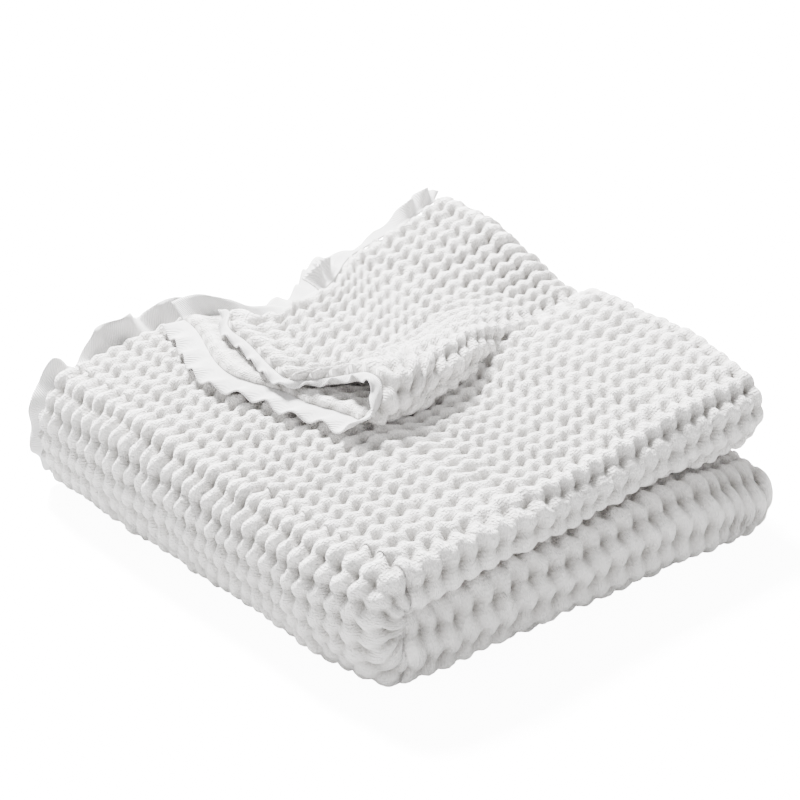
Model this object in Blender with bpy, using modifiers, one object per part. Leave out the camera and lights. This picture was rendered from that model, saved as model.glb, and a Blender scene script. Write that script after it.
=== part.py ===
"""A baby blanket of thick honeycomb cotton with a ruffled ribbed binding, folded into a square stack.

The cloth has its ends turned in to the middle, is folded lengthwise round the noses at +X, and is then
folded in half round the spine at -Y. A flap of it lies rolled back on the top, over the corner at -X +Y.
Metres, +Z up. The stack rests on z = 0, centred on the origin.
"""

import math

import bmesh
import bpy
from mathutils import Vector

# Size of the folded stack and of its cloth
WIDTH = 0.329
DEPTH = 0.360
CLOTH = 0.0065
BINDING_WIDTH = 0.021
BINDING_CLOTH = 0.0016
BINDING_ROOT = 0.002
SEAM_GAP = 0.0005
EDGE_STEP = 0.02

# Place of the stack's middle, which centres the whole blanket with its binding on the origin
MIDDLE_X = 0.0006
MIDDLE_Y = 0.0030

# Thickness of the two halves of the stack, as (share of the depth, metres) rows
LOWER_PROFILE = ((0.0, 0.050), (0.3, 0.060), (0.55, 0.056), (1.0, 0.044))
UPPER_PROFILE = ((0.0, 0.034), (0.3, 0.031), (0.55, 0.035), (0.8, 0.046), (1.0, 0.054))
GAP_AT_SPINE = 0.0028
GAP_AT_ENDS = 0.006
GAP_AT_EDGES = 0.35
SPINE_SQUASH = 0.66
SPINE_Y = -DEPTH / 2 + SPINE_SQUASH * (LOWER_PROFILE[0][1] + UPPER_PROFILE[0][1] + GAP_AT_SPINE) / 2
LOWER_NOSE_REACH = 0.026
UPPER_NOSE_REACH = 0.004
NOSE_REACH_FULL_AT = 0.85
FRONT_CORNER_PULL = 0.009
LOWER_REAR_PULL = 0.028
UPPER_REAR_PULL = 0.016
PULL_HEIGHTS = (0.02, 0.08)
CORNER_SHARE = 0.25
INNER_LEVEL = 1 / 3
SIDE_PINCH = ((0.32, 0.0), (0.43, 0.036), (0.53, 0.036), (0.70, 0.0))

# Unevenness of the hand-folded stack, in metres, and its waves as (turn across, turn along, start)
LOWER_UNEVEN = 0.0012
LOWER_WAVE = (5.0, 4.0, 0.0)
UPPER_UNEVEN = 0.0016
UPPER_WAVE_ACROSS = (6.5, -2.0, 0.6)
UPPER_WAVE_ALONG = (0.0, 5.5, 0.8)
SIDE_UNEVEN = 0.0022
SIDE_WAVE = (0.0, 7.0, 0.4)
SIDE_STILL_AT = 0.3
SIDE_DRAWN_OUT = 0.004
END_UNEVEN = 0.0025
END_WAVE = (6.0, 0.0, 1.0)
END_STILL_AT = 0.4
LAYER_EDGE_UNEVEN = 0.0025
LAYER_EDGE_TURN = 5.0
LAYER_TURN = 3.0

# The flap: its plan as shares of the stack's width and depth, and its heights in metres
ROLL_LINE = ((0.31, 0.555), (0.95, 0.465))
FLAP_EDGE = (
    (0.0, 0.310), (0.45, 0.245), (0.75, 0.285), (1.0, 0.320), (2.0, 0.365), (2.14, 0.372), (2.32, 0.285),
    (2.7, 0.318), (3.0, 0.360),
)
FLAP_SIDE_LOW = ((0.30, 0.027), (0.48, 0.085), (0.70, 0.040), (1.0, 0.012))
FLAP_SIDE_HIGH = ((0.30, 0.030), (0.395, 0.095), (0.48, 0.070), (0.56, 0.065), (0.65, 0.075), (1.0, 0.070))
FLAP_LIFT = 0.0024
ROLL_HEIGHT = 0.0265
ROLL_RISE = 0.14
ROLL_CLOSING = (0.95, 0.36)
FLAP_CLOSED = 0.0095
FLAP_STEP_ALONG = (0.50, 0.90)
FLAP_STEP_ACROSS = (0.05, -0.015)
PEAK_HEIGHT = 0.030
PEAK_ALONG = (0.60, 0.98)
PEAK_PAST_ROLL = 0.03
PEAK_FULL_AT = 0.2
FLAP_SIDE_LIFT = 0.003
FLAP_SIDE_LIFT_ACROSS = (0.2, 0.0)
FLAP_SIDE_LIFT_ALONG = (0.7, 0.4)
FLAP_END_REACH = 0.018
FLAP_END_REACH_BELOW = 0.006
RETURN_START = 0.027

# The bindings: ruffles in metres and shares of them, and the slopes at which the bindings lean
RUFFLE_PITCH = 0.042
RUFFLE_STRAY = 1.3
RUFFLE_STRAY_TURN = 11.0
RUFFLE_GROWTH = 1.4
RUFFLE_HEIGHT = 0.0026
LOWER_RUFFLE = 0.75
INNER_RUFFLE = 0.4
END_RUFFLE = 0.2
FLAP_RUFFLE = 0.5
SIDE_RUFFLE = 0.7
PEAK_RUFFLE = 1.9
SPINE_FLARE = 0.5
SPINE_RISE = 0.3
EDGE_RISE = 1.4
EDGE_RISE_RUN = (0.62, 0.74)
EDGE_RISE_SPINE = (0.35, 0.0)
FLAP_TRIM_ABOVE = 0.45
FLAP_TRIM_TURN = (1.2, 2.0)
FLAP_TRIM_DROP = 0.3
FLAP_TRIM_DROP_RUN = (3.4, 1.9)
FLAP_TRIM_RISE = 0.12
ROLL_LEAN = 0.35
FLAP_SIDE_RISE_BELOW = 1.5
FLAP_SIDE_RISE_ABOVE = 1.2
FRONT_RUN = (0.45, 0.1)
REAR_RUN = (0.5, 1.0)

# Grid counts: stations across each layer and round each fold
ACROSS = 8
ROUND_NOSE = 8
ALONG_RUN = 13
ALONG_RETURN = 6
ROUND_END = 4
ROUND_SPINE = 8
FLAP_ACROSS = 7
FLAP_ALONG = 12
FLAP_DOWN = 4
ROUND_ROLL = 6
FLAP_ABOVE_FROM = 4
LEGS = (ALONG_RETURN, ROUND_END, ALONG_RUN, ROUND_SPINE, ALONG_RUN, ROUND_END, ALONG_RETURN)

COTTON = (0.86, 0.85, 0.83, 1.0)
RIBBED_COTTON = (0.88, 0.88, 0.88, 1.0)


def ease(low, high, value):
    share = min(max((value - low) / (high - low), 0.0), 1.0)
    return share * share * (3.0 - 2.0 * share)


def blend(start, end, share):
    return start + (end - start) * share


def along(table, value):
    """The value of a short table of (place, value) rows, eased between the rows."""
    for (low, first), (high, second) in zip(table, table[1:]):
        if value <= high:
            return blend(first, second, ease(low, high, value))
    return table[-1][1]


def shares(x, y):
    """Plan place as shares of the stack's width and depth, from its corner at -X -Y."""
    return x / WIDTH + 0.5, y / DEPTH + 0.5


def wave(turns, u, v):
    across, onward, start = turns
    return math.sin(across * u + onward * v + start)


def lower_top(x, y):
    u, v = shares(x, y)
    return along(LOWER_PROFILE, v) + LOWER_UNEVEN * wave(LOWER_WAVE, u, v)


def slit(x, y):
    u, v = shares(x, y)
    return blend(GAP_AT_SPINE, GAP_AT_ENDS, v * v * blend(GAP_AT_EDGES, 1.0, u))


def flap_step(x, y):
    """How far the top layer lies lower under the flap, so that the flap's roll ends flush with the top."""
    u, v = shares(x, y)
    under = ease(*FLAP_STEP_ALONG, v) * ease(*FLAP_STEP_ACROSS, u - along(ROLL_LINE, v))
    return (CLOTH + FLAP_LIFT + FLAP_CLOSED) * under


def upper_top(x, y):
    u, v = shares(x, y)
    uneven = UPPER_UNEVEN * wave(UPPER_WAVE_ACROSS, u, v) * wave(UPPER_WAVE_ALONG, u, v)
    return lower_top(x, y) + slit(x, y) + along(UPPER_PROFILE, v) + uneven - flap_step(x, y)


def lower_half(x, y):
    """Middle height and half spread of the outer layers of the lower half."""
    return lower_top(x, y) / 2, (lower_top(x, y) - CLOTH) / 2


def upper_half(x, y):
    base = lower_top(x, y) + slit(x, y)
    return (upper_top(x, y) + base) / 2, (upper_top(x, y) - base - CLOTH) / 2


def settle(x, y, z):
    """The unevenness of the hand-folded outline, its soft corners, and the stack's place on the origin."""
    u, v = shares(x, y)
    front = FRONT_CORNER_PULL * ease(1 - CORNER_SHARE, 1, u) * ease(CORNER_SHARE, 0, v)
    rear = blend(LOWER_REAR_PULL, UPPER_REAR_PULL, ease(*PULL_HEIGHTS, z))
    rear *= ease(1 - CORNER_SHARE, 1, u) * ease(1 - CORNER_SHARE, 1, v)
    x_shift = SIDE_UNEVEN * wave(SIDE_WAVE, u, v) * (u - SIDE_STILL_AT)
    x_shift += along(SIDE_PINCH, v) * (1 - min(max(u, 0), 1)) ** 2
    x_shift -= SIDE_DRAWN_OUT * (1 - u) * ease(0.5, 0.0, v)
    y_shift = END_UNEVEN * wave(END_WAVE, u, v) * (v - END_STILL_AT)
    return x + x_shift - front + MIDDLE_X, y + y_shift + front - rear + MIDDLE_Y, z


def edge_x(level, side, v):
    """Where a layer's bound edge lies: each layer a little further in or out than the next."""
    stray = math.sin(LAYER_EDGE_TURN * v + LAYER_TURN * level + side) + 1 - level
    return -WIDTH / 2 + LAYER_EDGE_UNEVEN * stray


def section(station, level, spread, nose_x, start_x):
    """A point of the folded section, as its x and its height in shares of the half's spread.

    The station runs from 0 at the outer layer's edge, to 1 and 2 at the start and end of the nose, to 3
    at the edge of the layer that faces the other half.
    """
    if station <= 1:
        return blend(start_x, nose_x, station), level
    if station >= 2:
        return blend(nose_x, start_x, station - 2), -level
    angle = math.pi * (1.5 - station)
    return nose_x + level * spread * math.cos(angle), level * math.sin(angle)


def fold_point(leg, share, station):
    """A point of the folded cloth's middle surface, at a share of one leg of its way."""
    half = lower_half if leg >= 4 else upper_half
    if leg == 3:
        return spine_point(share, station)
    level, turn = 1.0, 0.0
    if leg in (0, 6):
        level = INNER_LEVEL
    if leg in (1, 5):
        turn = math.pi * (share if leg == 5 else 1 - share)
        level = blend(INNER_LEVEL, 1.0, (1 + math.cos(turn)) / 2)
    side = 1 if station < 1.5 else -1
    onward = {0: share, 1: 1, 2: 1 - share, 4: share, 5: 1, 6: 1 - share}[leg]
    probe_y = blend(SPINE_Y, DEPTH / 2, onward)
    probe_v = probe_y / DEPTH + 0.5
    reach = (LOWER_NOSE_REACH if leg >= 4 else UPPER_NOSE_REACH) * ease(0, NOSE_REACH_FULL_AT, probe_v)
    nose_x = WIDTH / 2 - CLOTH / 2 - half(WIDTH / 2, probe_y)[1] + reach
    start_x = edge_x(level, side, probe_v)
    x, height = section(station, level, half(nose_x, probe_y)[1], nose_x, start_x)
    flat_x = min(x, nose_x)
    end_radius = half(flat_x, DEPTH / 2)[1] * (1 - INNER_LEVEL) / 2
    end_y = DEPTH / 2 - CLOTH / 2 - end_radius
    if leg in (1, 5):
        y = end_y + end_radius * math.sin(turn)
    elif leg in (2, 4):
        y = blend(SPINE_Y, end_y, onward)
    else:
        y = blend(SPINE_Y + RETURN_START, end_y, onward)
    middle, spread = half(flat_x, min(y, end_y))
    z = middle + spread * height if leg < 3 else middle - spread * height
    return settle(x, y, z)


def spine_point(share, station):
    side = 1 if station < 1.5 else -1
    nose_x = WIDTH / 2 - CLOTH / 2 - upper_half(WIDTH / 2, SPINE_Y)[1]
    start_x = edge_x(1.0, side, SPINE_Y / DEPTH + 0.5)
    x, height = section(station, 1.0, upper_half(nose_x, SPINE_Y)[1], nose_x, start_x)
    flat_x = min(x, nose_x)
    upper_middle, upper_spread = upper_half(flat_x, SPINE_Y)
    lower_middle, lower_spread = lower_half(flat_x, SPINE_Y)
    axis_z = lower_top(flat_x, SPINE_Y) + slit(flat_x, SPINE_Y) / 2
    radius = blend(upper_middle - axis_z, axis_z - lower_middle, share)
    radius += height * blend(upper_spread, lower_spread, share)
    angle = math.pi * (0.5 - share)
    return settle(x, SPINE_Y - SPINE_SQUASH * radius * math.cos(angle), axis_z + radius * math.sin(angle))


def leg_shares():
    """Each ring of the cloth's way from end to end, as (leg, share)."""
    rings = [(0, 0.0)]
    for leg, count in enumerate(LEGS):
        rings += [(leg, step / count) for step in range(1, count + 1)]
    return rings


def fold_stations():
    flat = [step / ACROSS for step in range(ACROSS)]
    nose = [1 + step / ROUND_NOSE for step in range(ROUND_NOSE)]
    return flat + nose + [2 + step / ACROSS for step in range(ACROSS + 1)]


def flap_spread(u, v):
    """Distance between the flap's layers: open at the roll's end, closed at the back, high at the peak."""
    roll_u = along(ROLL_LINE, v)
    rolled = ease(roll_u - ROLL_RISE, roll_u, u) * ease(*ROLL_CLOSING, v)
    peak = PEAK_HEIGHT * ease(*PEAK_ALONG, v) * ease(roll_u + PEAK_PAST_ROLL, PEAK_FULL_AT, u)
    side = FLAP_SIDE_LIFT * ease(*FLAP_SIDE_LIFT_ACROSS, u) * ease(*FLAP_SIDE_LIFT_ALONG, v)
    return FLAP_CLOSED + (ROLL_HEIGHT - FLAP_CLOSED) * rolled + peak + side


def flap_point(station, share):
    """A point of the flap's middle surface, at stations 0 to 1 below, 1 to 2 on the roll, 2 to 3 above."""
    low, high = station <= 1, station >= 2
    edge = along(FLAP_EDGE, station)
    end_y = DEPTH / 2 - CLOTH / 2 - upper_half(0, DEPTH / 2)[1] * (1 - INNER_LEVEL) / 2
    down = max(share - 1, 0) * math.pi / 2
    start_y = (edge - 0.5) * DEPTH
    y = blend(start_y, end_y - FLAP_END_REACH, min(share, 1))
    v = y / DEPTH + 0.5
    side_u = along(FLAP_SIDE_HIGH if high else FLAP_SIDE_LOW, v)
    roll_u = along(ROLL_LINE, v)
    roll_x = (roll_u - 0.5) * WIDTH
    u = blend(side_u, roll_u, station if low else 3 - station if high else 1.0)
    spread = flap_spread(u, v)
    angle = math.pi * (min(max(station, 1), 2) - 1.5)
    x = (u - 0.5) * WIDTH if low or high else roll_x + spread / 2 * math.cos(angle)
    above = (1 + math.sin(angle)) / 2
    lift = FLAP_LIFT + CLOTH + spread * above
    base = upper_top(min(x, roll_x - CLOTH), y) - CLOTH / 2
    reach = blend(FLAP_END_REACH_BELOW, FLAP_END_REACH, above)
    return settle(x, y + reach * math.sin(down), base + lift * math.cos(down))


def flap_stations():
    low = [step / FLAP_ACROSS for step in range(FLAP_ACROSS)]
    roll = [1 + step / ROUND_ROLL for step in range(ROUND_ROLL)]
    return low + roll + [2 + step / FLAP_ACROSS for step in range(FLAP_ACROSS + 1)]


def flap_rings():
    onward = [step / FLAP_ALONG for step in range(FLAP_ALONG)]
    return onward + [1 + step / FLAP_DOWN for step in range(FLAP_DOWN + 1)]


def finer(rows, splits):
    """Each row of points or numbers with evenly spaced ones put in between, a count for each step."""
    made = [rows[0]]
    for first, second, count in zip(rows, rows[1:], splits):
        for step in range(1, count + 1):
            made.append(tuple(blend(a, b, step / count) for a, b in zip(first, second)))
    return made


def leaning(x, y, z, reach=1.0):
    """A direction that a binding leans in, as long as the share of its width that it shows."""
    return tuple(Vector((x, y, z)).normalized() * reach)


def ruffled(edge, inside, outward, height, width, splits):
    """A binding along an edge of the cloth, from the edge points, the cloth's points just inside them,
    the directions that the binding leans in and the height of its ruffle, which grows to its free edge."""
    lines = [tuple(point) + tuple(inner) + tuple(way) + (high,)
             for point, inner, way, high in zip(edge, inside, outward, height)]
    lines = finer(lines, splits)
    starts = [Vector(line[0:3]) for line in lines]
    rows, length = [], 0.0
    for index, line in enumerate(lines):
        start = starts[index]
        back = starts[max(index - 1, 0)]
        ahead = starts[min(index + 1, len(lines) - 1)]
        length += (start - back).length
        plain = (start - Vector(line[3:6])).normalized()
        out = Vector(line[6:9])
        normal = out.cross(ahead - back).normalized()
        stray = RUFFLE_STRAY * math.sin(RUFFLE_STRAY_TURN * length)
        ruffle = normal * line[9] * math.sin(2 * math.pi * length / RUFFLE_PITCH + stray)
        root = start + plain * (SEAM_GAP + BINDING_ROOT)
        middle = out * width / 2 + ruffle / 2**RUFFLE_GROWTH
        free = out * width + ruffle
        rows.append([start + plain * SEAM_GAP, root, root + middle, root + free])
    return rows


def side_trim(station, run_split):
    """The binding along one long edge of the cloth, through all its legs."""
    rings = leg_shares()
    inner_station = abs(station - EDGE_STEP)
    edge = [fold_point(leg, share, station) for leg, share in rings]
    inside = [fold_point(leg, share, inner_station) for leg, share in rings]
    outward, height = [], []
    for leg, share in rings:
        flare = math.sin(math.pi * share) if leg == 3 and station < 1 else 0.0
        angle = math.pi * (0.5 - share)
        risen, shown = 0.0, INNER_RUFFLE
        if station < 1:
            risen = {2: ease(*EDGE_RISE_RUN, share), 3: ease(*EDGE_RISE_SPINE, share)}.get(leg, 0.0)
            shown = {2: 1.0, 3: 1.0, 4: LOWER_RUFFLE}.get(leg, INNER_RUFFLE)
        up = SPINE_RISE * flare * math.sin(angle) + EDGE_RISE * risen
        outward.append(leaning(-1.0, -SPINE_FLARE * flare * math.cos(angle), up))
        height.append(RUFFLE_HEIGHT * shown)
    splits = [run_split if leg in (2, 4) else 1 for leg, share in rings[1:]]
    return ruffled(edge, inside, outward, height, BINDING_WIDTH - BINDING_ROOT, splits)


def end_trim(leg, share):
    """The binding across one short end of the cloth, inside the stack."""
    stations = fold_stations()
    edge = [fold_point(leg, share, station) for station in stations]
    inside = [fold_point(leg, abs(share - EDGE_STEP), station) for station in stations]
    outward = [(0.0, -1.0, 0.0)] * len(edge)
    height = [RUFFLE_HEIGHT * END_RUFFLE] * len(edge)
    return ruffled(edge, inside, outward, height, BINDING_WIDTH - 2 * BINDING_ROOT, [1] * (len(edge) - 1))


def flap_end_trim():
    """The binding of the flap's front end: flat on the stack below, drawn in and down towards it above."""
    stations = flap_stations()
    edge = [flap_point(station, 0) for station in stations]
    inside = [flap_point(station, EDGE_STEP) for station in stations]
    outward, height = [], []
    for station in stations:
        above = ease(*FLAP_TRIM_TURN, station)
        drop = FLAP_TRIM_DROP * above * ease(*FLAP_TRIM_DROP_RUN, station)
        up = FLAP_TRIM_RISE * (1 - above) - drop
        reach = blend(1.0, FLAP_TRIM_ABOVE, above)
        outward.append(leaning(ROLL_LEAN * math.sin(math.pi * ease(1, 2, station)), -1.0, up, reach))
        height.append(RUFFLE_HEIGHT * FLAP_RUFFLE * reach)
    return ruffled(edge, inside, outward, height, BINDING_WIDTH - BINDING_ROOT, [3] * (len(edge) - 1))


def flap_side_trim(station, first, last, rise):
    """The binding along one side of the flap, between two of its rings, leaning up at one end."""
    places = flap_rings()[first:last]
    inner_station = abs(station - EDGE_STEP)
    edge = [flap_point(station, place) for place in places]
    inside = [flap_point(inner_station, place) for place in places]
    lean_run, grow = (FRONT_RUN, 1.0) if station < 1 else (REAR_RUN, PEAK_RUFFLE)
    outward = [leaning(-1.0, 0.0, rise * ease(*lean_run, place)) for place in places]
    height = [RUFFLE_HEIGHT * blend(SIDE_RUFFLE, grow, ease(*REAR_RUN, place)) for place in places]
    return ruffled(edge, inside, outward, height, BINDING_WIDTH - BINDING_ROOT, [3] * (len(edge) - 1))


def sheet(name, rows, thickness, colour, collection):
    """A sheet of cloth through rows of points, thickened evenly on both sides."""
    mesh = bpy.data.meshes.new(name)
    grid = bmesh.new()
    made = [[grid.verts.new(point) for point in row] for row in rows]
    for first, second in zip(made, made[1:]):
        for corner in range(len(first) - 1):
            grid.faces.new((first[corner], first[corner + 1], second[corner + 1], second[corner]))
    grid.to_mesh(mesh)
    grid.free()
    mesh.shade_smooth()
    piece = bpy.data.objects.new(name, mesh)
    collection.objects.link(piece)
    solidify = piece.modifiers.new("Cloth thickness", "SOLIDIFY")
    solidify.thickness = thickness
    solidify.offset = 0.0
    material = bpy.data.materials.new(name)
    material.use_nodes = True
    shader = material.node_tree.nodes["Principled BSDF"]
    shader.inputs["Base Color"].default_value = colour
    shader.inputs["Roughness"].default_value = 0.95
    shader.inputs["Metallic"].default_value = 0.0
    mesh.materials.append(material)
    return piece


def main():
    for item in list(bpy.data.objects):
        bpy.data.objects.remove(item)
    blanket = bpy.data.collections.new("Folded baby blanket")
    joined = bpy.data.collections.new("Forms joined to the cloth")
    bpy.context.scene.collection.children.link(blanket)
    bpy.context.scene.collection.children.link(joined)
    stations = fold_stations()
    rows = [[fold_point(leg, share, station) for station in stations] for leg, share in leg_shares()]
    cloth = sheet("cloth", rows, CLOTH, COTTON, blanket)
    stations = flap_stations()
    rows = [[flap_point(station, share) for station in stations] for share in flap_rings()]
    flap = sheet("flap", rows, CLOTH, COTTON, joined)
    flap.hide_render = True
    flap.display_type = "WIRE"
    union = cloth.modifiers.new("Flap joined at the back", "BOOLEAN")
    union.operation = "UNION"
    union.solver = "MANIFOLD"
    union.object = flap
    trims = {
        "binding_outer_edge": side_trim(0, 3),
        "binding_inner_edge": side_trim(3, 2),
        "binding_upper_end": end_trim(0, 0.0),
        "binding_lower_end": end_trim(6, 1.0),
        "flap_binding_end": flap_end_trim(),
        "flap_binding_below": flap_side_trim(0, 0, FLAP_ALONG, FLAP_SIDE_RISE_BELOW),
        "flap_binding_above": flap_side_trim(3, FLAP_ABOVE_FROM, FLAP_ALONG + 1, FLAP_SIDE_RISE_ABOVE),
    }
    for name, rows in trims.items():
        sheet(name, rows, BINDING_CLOTH, RIBBED_COTTON, blanket)


main()
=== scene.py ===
"""The looks of a folded baby blanket: puffed honeycomb cloth, ruffled bindings and a studio stage.

The cloth is one long sheet. A place on it is its way, from 0 to 7 with one whole step for each leg of the
fold, and its station, from 0 at the outer layer's edge to 3 at the edge of the layer that faces the gap.
The legs are the upper return, its end turn, the upper run, the spine, the lower run, its end turn and
the lower return. The flap has a share, 0 to 2 from its front end to its back, and the same stations.
Metres, +Z up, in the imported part's frame.
"""

import math

import bpy
import numpy as np
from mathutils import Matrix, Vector


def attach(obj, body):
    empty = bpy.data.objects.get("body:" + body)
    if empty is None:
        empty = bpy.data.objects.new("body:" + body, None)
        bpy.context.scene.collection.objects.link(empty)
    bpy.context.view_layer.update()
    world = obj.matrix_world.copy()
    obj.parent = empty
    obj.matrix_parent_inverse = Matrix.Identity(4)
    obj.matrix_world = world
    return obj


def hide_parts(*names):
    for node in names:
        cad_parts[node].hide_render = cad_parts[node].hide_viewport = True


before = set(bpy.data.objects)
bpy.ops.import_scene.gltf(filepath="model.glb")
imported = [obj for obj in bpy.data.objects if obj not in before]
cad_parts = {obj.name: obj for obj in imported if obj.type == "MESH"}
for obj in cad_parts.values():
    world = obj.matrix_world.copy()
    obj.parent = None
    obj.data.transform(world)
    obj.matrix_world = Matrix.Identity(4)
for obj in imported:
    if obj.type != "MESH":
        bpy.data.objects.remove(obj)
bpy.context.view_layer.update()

bl_info = {
    "name": "Folded Baby Blanket",
    "version": (1, 0, 0),
    "blender": (4, 5, 0),
    "location": "3D View > Sidebar > Blanket",
    "description": "Weaves, folds and binds a honeycomb cotton blanket on its packed solids",
    "category": "Object",
}

# Size of the folded stack and of its cloth, as in the solids
WIDTH = 0.329
DEPTH = 0.360
CLOTH = 0.0065
BINDING_WIDTH = 0.021
BINDING_ROOT = 0.002
SEAM_GAP = 0.0005
EDGE_STEP = 0.02

# Place of the stack's middle, which centres the whole blanket with its binding on the origin
MIDDLE_X = 0.0006
MIDDLE_Y = 0.0030

# Thickness of the two halves of the stack, as (share of the depth, metres) rows
LOWER_PROFILE = ((0.0, 0.050), (0.3, 0.060), (0.55, 0.056), (1.0, 0.044))
UPPER_PROFILE = ((0.0, 0.034), (0.3, 0.031), (0.55, 0.035), (0.8, 0.046), (1.0, 0.054))
GAP_AT_SPINE = 0.0028
GAP_AT_ENDS = 0.006
GAP_AT_EDGES = 0.35
SPINE_SQUASH = 0.66
SPINE_Y = -DEPTH / 2 + SPINE_SQUASH * (LOWER_PROFILE[0][1] + UPPER_PROFILE[0][1] + GAP_AT_SPINE) / 2
LOWER_NOSE_REACH = 0.026
UPPER_NOSE_REACH = 0.004
NOSE_REACH_FULL_AT = 0.85
FRONT_CORNER_PULL = 0.009
LOWER_REAR_PULL = 0.028
UPPER_REAR_PULL = 0.016
PULL_HEIGHTS = (0.02, 0.08)
CORNER_SHARE = 0.25
INNER_LEVEL = 1 / 3
SIDE_PINCH = ((0.32, 0.0), (0.43, 0.036), (0.53, 0.036), (0.70, 0.0))

# Unevenness of the hand-folded stack, in metres, and its waves as (turn across, turn along, start)
LOWER_UNEVEN = 0.0012
LOWER_WAVE = (5.0, 4.0, 0.0)
UPPER_UNEVEN = 0.0016
UPPER_WAVE_ACROSS = (6.5, -2.0, 0.6)
UPPER_WAVE_ALONG = (0.0, 5.5, 0.8)
SIDE_UNEVEN = 0.0022
SIDE_WAVE = (0.0, 7.0, 0.4)
SIDE_STILL_AT = 0.3
SIDE_DRAWN_OUT = 0.004
END_UNEVEN = 0.0025
END_WAVE = (6.0, 0.0, 1.0)
END_STILL_AT = 0.4
LAYER_EDGE_UNEVEN = 0.0025
LAYER_EDGE_TURN = 5.0
LAYER_TURN = 3.0

# The flap: its plan as shares of the stack's width and depth, and its heights in metres
ROLL_LINE = ((0.31, 0.555), (0.95, 0.465))
FLAP_EDGE = (
    (0.0, 0.310), (0.45, 0.245), (0.75, 0.285), (1.0, 0.320), (2.0, 0.365), (2.14, 0.372), (2.32, 0.285),
    (2.7, 0.318), (3.0, 0.360),
)
FLAP_SIDE_LOW = ((0.30, 0.027), (0.48, 0.085), (0.70, 0.040), (1.0, 0.012))
FLAP_SIDE_HIGH = ((0.30, 0.030), (0.395, 0.095), (0.48, 0.070), (0.56, 0.065), (0.65, 0.075), (1.0, 0.070))
FLAP_LIFT = 0.0024
ROLL_HEIGHT = 0.0265
ROLL_RISE = 0.14
ROLL_CLOSING = (0.95, 0.36)
FLAP_CLOSED = 0.0095
FLAP_STEP_ALONG = (0.50, 0.90)
FLAP_STEP_ACROSS = (0.05, -0.015)
PEAK_HEIGHT = 0.030
PEAK_ALONG = (0.60, 0.98)
PEAK_PAST_ROLL = 0.03
PEAK_FULL_AT = 0.2
FLAP_SIDE_LIFT = 0.003
FLAP_SIDE_LIFT_ACROSS = (0.2, 0.0)
FLAP_SIDE_LIFT_ALONG = (0.7, 0.4)
FLAP_END_REACH = 0.018
FLAP_END_REACH_BELOW = 0.006
RETURN_START = 0.027

# The bindings: ruffles in metres and shares of them, and the slopes at which the bindings lean
RUFFLE_PITCH = 0.042
RUFFLE_STRAY = 1.3
RUFFLE_STRAY_TURN = 11.0
RUFFLE_GROWTH = 1.4
RUFFLE_HEIGHT = 0.0026
LOWER_RUFFLE = 0.75
INNER_RUFFLE = 0.4
END_RUFFLE = 0.2
SIDE_RUFFLE = 0.7
PEAK_RUFFLE = 1.9
FLAP_TRIM_TURN = (1.2, 2.0)
FLAP_TRIM_DROP = 0.3
FLAP_TRIM_DROP_RUN = (3.4, 1.9)
FLAP_TRIM_RISE = 0.12
ROLL_LEAN = 0.35
FLAP_TRIM_THIN = 0.28
FLAP_TRIM_RUFFLE = (0.85, 0.95)
FLAP_TRIM_PITCH = (0.022, 0.017)
FLAP_RUN_BELOW = (0.0, 0.92)
FLAP_RUN_ABOVE = (0.33, 1.05)
BUNCHED_AT_BACK = (0.8, 0.9)
BUNCHED_AT_FRONT = (0.5, 0.42)
BUNCHED_PITCH = 0.014
OUTER_BAND_PITCH = 0.027

# A tape's build: the share of its width in line with the cloth, and the gathers at its seam
SEAM_SHARE = 0.14
SEAM_ROWS = (0.0, 0.06)
GATHER_PITCH = 0.0085
GATHER_STRAY = 2.0
GATHER_STRAY_TURN = 37
GATHER_FADE = 1.3

# How the bindings lean, as (place, out, forward, up) rows. A place is a way on the outer edge and a share
# on the flap's sides, and a direction is as long as the share of the tape's width that shows
OUTER_BAND = (
    (2.58, 1.0, 0.0, 0.0), (2.66, 0.5, 0.0, 0.85), (2.77, 0.4, 0.0, 0.9), (2.80, 0.75, 0.0, 0.4),
    (2.835, 0.3, 0.1, 1.0), (2.92, 0.35, 0.1, 1.0), (2.965, 0.7, 0.0, -0.25), (3.02, 0.4, 0.2, 0.4),
    (3.10, 0.4, 0.25, 0.6), (3.25, 0.55, 0.3, 0.1), (3.50, 0.5, 0.28, -0.3), (3.72, 0.5, 0.2, -0.25),
    (3.86, 0.6, 0.1, 0.0), (4.0, 0.8, 0.0, 0.0),
)
FLAP_BAND_BELOW = (
    (0.0, 0.6, 0.0, 0.5), (0.08, 0.5, 0.0, 0.8), (0.22, 0.8, 0.0, 0.3), (0.35, 0.8, 0.0, 0.0),
    (1.0, 0.8, 0.0, 0.0),
)
FLAP_BAND_ABOVE = (
    (0.33, 0.5, 0.2, 0.5), (0.40, 0.5, 0.0, 0.75), (0.46, 0.5, -0.1, 0.4), (0.52, 0.35, 0.0, -0.1),
    (0.76, 0.4, 0.0, -0.1), (0.86, 0.4, -0.1, 0.45), (0.94, 0.35, -0.25, 0.6), (1.04, 0.2, -0.35, 0.15),
)

# How far the rows of cells stray from straight lines, in metres: (way, shift) rows, and where a slope shows
ROW_SHIFT = ((2.0, 0.0), (2.3, -0.016), (2.5, -0.018), (2.68, -0.009), (3.0, 0.0))
ROW_SLOPE_ACROSS = (0.5, 1.0)
ROW_SLOPE_STARTS = (2.05, 2.5)
ROW_SLOPE_ENDS = (3.0, 2.5)

# Cells pulled wide towards the noses: metres of cloth that carry no cells, on the top and round a nose
TOP_PULLED = 0.011
TOP_PULLED_FROM = 0.65
UPPER_NOSE_PULLED = 0.013
LOWER_NOSE_PULLED = 0.033
NOSE_PULL_CHANGES = (3.3, 4.0)

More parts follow.
